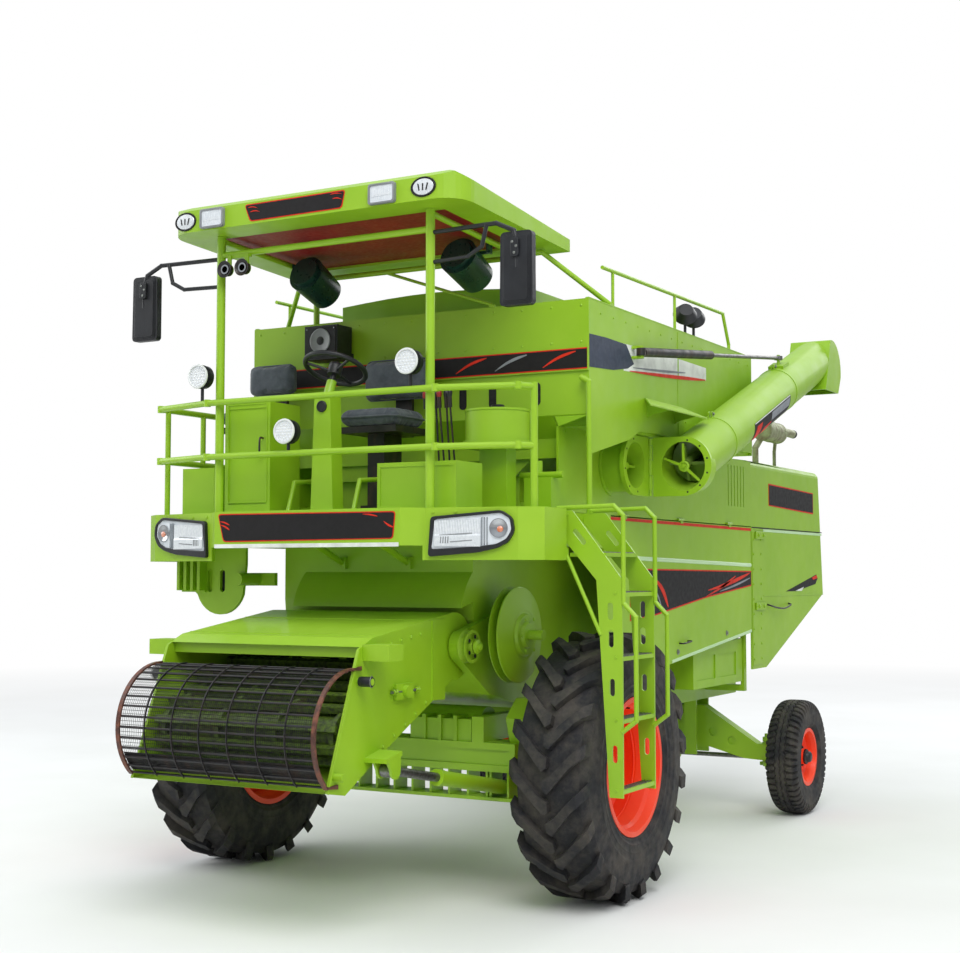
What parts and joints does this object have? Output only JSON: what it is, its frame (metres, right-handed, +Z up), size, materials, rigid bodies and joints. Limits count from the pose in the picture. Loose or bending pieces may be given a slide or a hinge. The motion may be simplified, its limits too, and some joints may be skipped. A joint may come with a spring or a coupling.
{
  "type": "combine harvester",
  "caption": "Self-propelled combine harvester with canopy platform, grain tank, swinging unloader, feeder house with drum screen, lugged drive wheels and steered rear axle.",
  "frame": {"origin": "on the ground, under the middle of the machine's bounding box", "axes": "+Z up, the machine drives towards -Y, +X is its left side"},
  "size_m": [3.3302, 7.4378, 4.1163],
  "materials": {
    "lime_paint": "semi-gloss lime green paint, dusty on flat faces",
    "orange_paint": "gloss orange-red paint",
    "black_paint": "satin black paint, worn brown at the edges",
    "tyre_rubber": "matt rubber with dust between the lugs",
    "red_liner": "dark red padded headliner",
    "dark_green_plastic": "dark green moulding",
    "black_plastic": "grained black moulding",
    "seat_cover": "dark grey seat cover",
    "lamp_glass": "clear ribbed lens over a bright reflector",
    "zinc_sheet": "galvanised sheet",
    "cast_grey": "painted grey castings",
    "exhaust_steel": "heat-stained steel",
    "worn_steel": "bright where it runs, brown with rust elsewhere"
  },
  "bodies": {
    "chassis": {"main_frame": "lime_paint", "front_axle": "lime_paint", "threshing_housing": "lime_paint", "side_panels": "lime_paint", "sieve_box": "lime_paint", "straw_walkers": "zinc_sheet", "rear_hood": "lime_paint", "engine_block": "cast_grey", "exhaust": "exhaust_steel", "grain_elevator": "lime_paint", "drive_guard": "lime_paint", "platform": "lime_paint", "bumper": "lime_paint", "headlights": "lamp_glass", "guard_rails": "lime_paint", "ladder": "lime_paint", "canopy_frame": "lime_paint", "canopy_roof": "lime_paint", "canopy_liner": "red_liner", "canopy_drums": "dark_green_plastic", "mirrors": "black_plastic", "work_lamps": "black_plastic", "console": "lime_paint", "seat_frames": "black_paint", "seat_cushions": "seat_cover", "speaker_box": "black_plastic", "tank_ends": "lime_paint", "tank_sides": "lime_paint", "tank_floor": "lime_paint", "unloader_stub": "lime_paint", "rear_axle": "lime_paint"},
    "wheel_front_left": {"tyre_front_left": "tyre_rubber", "rim_front_left": "orange_paint"},
    "wheel_front_right": {"tyre_front_right": "tyre_rubber", "rim_front_right": "orange_paint"},
    "wheel_rear_left": {"tyre_rear_left": "tyre_rubber", "rim_rear_left": "orange_paint"},
    "wheel_rear_right": {"tyre_rear_right": "tyre_rubber", "rim_rear_right": "orange_paint"},
    "knuckle_left": {"knuckle_left": "lime_paint"},
    "knuckle_right": {"knuckle_right": "lime_paint"},
    "tie_rod": {"tie_rod": "worn_steel"},
    "steering_wheel": {"steering_wheel": "black_plastic"},
    "feeder": {"feeder_house": "lime_paint", "feeder_conveyor": "worn_steel", "drum_screen": "black_paint"},
    "lift_barrels": {"lift_barrels": "lime_paint"},
    "lift_rods": {"lift_rods": "worn_steel"},
    "unloader": {"unloader_tube": "lime_paint"},
    "unloader_screw": {"unloader_screw": "worn_steel"},
    "swing_barrel": {"swing_barrel": "black_paint"},
    "swing_rod": {"swing_rod": "worn_steel"},
    "shield_left": {"shield_left": "lime_paint"},
    "shield_right": {"shield_right": "lime_paint"},
    "tank_lid": {"tank_lid": "lime_paint"},
    "drum_pulley": {"drum_pulley": "lime_paint"}
  },
  "joints": [
    {"name": "wheel_front_left_spin", "type": "hinge", "parent": "chassis", "child": "wheel_front_left", "pos_m": [1.17875, -1.72, 0.775], "axis": [1, 0, 0], "continuous": true},
    {"name": "wheel_front_right_spin", "type": "hinge", "parent": "chassis", "child": "wheel_front_right", "pos_m": [-1.43125, -1.72, 0.775], "axis": [1, 0, 0], "continuous": true},
    {"name": "knuckle_left_turn", "type": "hinge", "parent": "chassis", "child": "knuckle_left", "pos_m": [0.95875, 1.93, 0.445], "axis": [0, 0, 1], "range_deg": [-35, 35]},
    {"name": "knuckle_right_turn", "type": "hinge", "parent": "chassis", "child": "knuckle_right", "pos_m": [-1.21125, 1.93, 0.445], "axis": [0, 0, 1], "range_deg": [-35, 35]},
    {"name": "wheel_rear_left_spin", "type": "hinge", "parent": "knuckle_left", "child": "wheel_rear_left", "pos_m": [1.19375, 1.93, 0.445], "axis": [1, 0, 0], "continuous": true},
    {"name": "wheel_rear_right_spin", "type": "hinge", "parent": "knuckle_right", "child": "wheel_rear_right", "pos_m": [-1.44625, 1.93, 0.445], "axis": [1, 0, 0], "continuous": true},
    {"name": "tie_rod_slide", "type": "slide", "parent": "chassis", "child": "tie_rod", "axis": [1, 0, 0], "range_m": [-0.11, 0.11]},
    {"name": "steering_wheel_turn", "type": "hinge", "parent": "chassis", "child": "steering_wheel", "pos_m": [-0.21125, -2.49, 3.12], "axis": [0, 0.4067, 0.9135], "range_deg": [-430, 430]},
    {"name": "feeder_lift", "type": "hinge", "parent": "chassis", "child": "feeder", "pos_m": [-0.12625, -2.32, 1.478], "axis": [1, 0, 0], "range_deg": [-8, 16]},
    {"name": "lift_barrel_turn", "type": "hinge", "parent": "chassis", "child": "lift_barrels", "pos_m": [-0.12625, -1.87, 0.62], "axis": [1, 0, 0], "range_deg": [-5, 9]},
    {"name": "lift_rod_slide", "type": "slide", "parent": "lift_barrels", "child": "lift_rods", "axis": [0, -0.9823, 0.1874], "range_m": [-0.25, 0.13]},
    {"name": "unloader_swing", "type": "hinge", "parent": "chassis", "child": "unloader", "pos_m": [1.07075, -0.72, 2.592], "axis": [0, 0, -1], "range_deg": [0, 90]},
    {"name": "unloader_screw_spin", "type": "hinge", "parent": "unloader", "child": "unloader_screw", "pos_m": [1.30075, -0.65214, 2.61571], "axis": [0, 0.9409, 0.3387], "continuous": true},
    {"name": "swing_barrel_turn", "type": "hinge", "parent": "chassis", "child": "swing_barrel", "pos_m": [1.18375, -1.12, 3.295], "axis": [0.0044, -0.0262, -0.9996], "range_deg": [0, 85]},
    {"name": "swing_rod_slide", "type": "slide", "parent": "swing_barrel", "child": "swing_rod", "axis": [0.0487, 0.9934, 0.1036], "range_m": [-0.62, 0]},
    {"name": "shield_left_lift", "type": "hinge", "parent": "chassis", "child": "shield_left", "pos_m": [0.90375, 0.28, 2.279], "axis": [0, -1, 0], "range_deg": [0, 70]},
    {"name": "shield_right_lift", "type": "hinge", "parent": "chassis", "child": "shield_right", "pos_m": [-1.15625, 0.28, 2.279], "axis": [0, 1, 0], "range_deg": [0, 70]},
    {"name": "tank_lid_lift", "type": "hinge", "parent": "chassis", "child": "tank_lid", "pos_m": [-0.12625, -0.41, 3.563], "axis": [-1, 0, 0], "range_deg": [0, 100]},
    {"name": "drum_pulley_spin", "type": "hinge", "parent": "chassis", "child": "drum_pulley", "pos_m": [0.70375, -1.92, 1.533], "axis": [1, 0, 0], "continuous": true}
  ],
  "couplings": [
    {"joint": "knuckle_right_turn", "follows": "knuckle_left_turn", "ratio": 1},
    {"joint": "tie_rod_slide", "follows": "knuckle_left_turn", "m_per_rad": -0.175},
    {"joint": "steering_wheel_turn", "follows": "knuckle_left_turn", "ratio": 12},
    {"joint": "lift_barrel_turn", "follows": "feeder_lift", "ratio": 0.5494},
    {"joint": "lift_rod_slide", "follows": "feeder_lift", "m_per_rad": -0.7794},
    {"joint": "swing_barrel_turn", "follows": "unloader_swing", "ratio": 0.9131},
    {"joint": "swing_rod_slide", "follows": "unloader_swing", "m_per_rad": -0.3213}
  ]
}
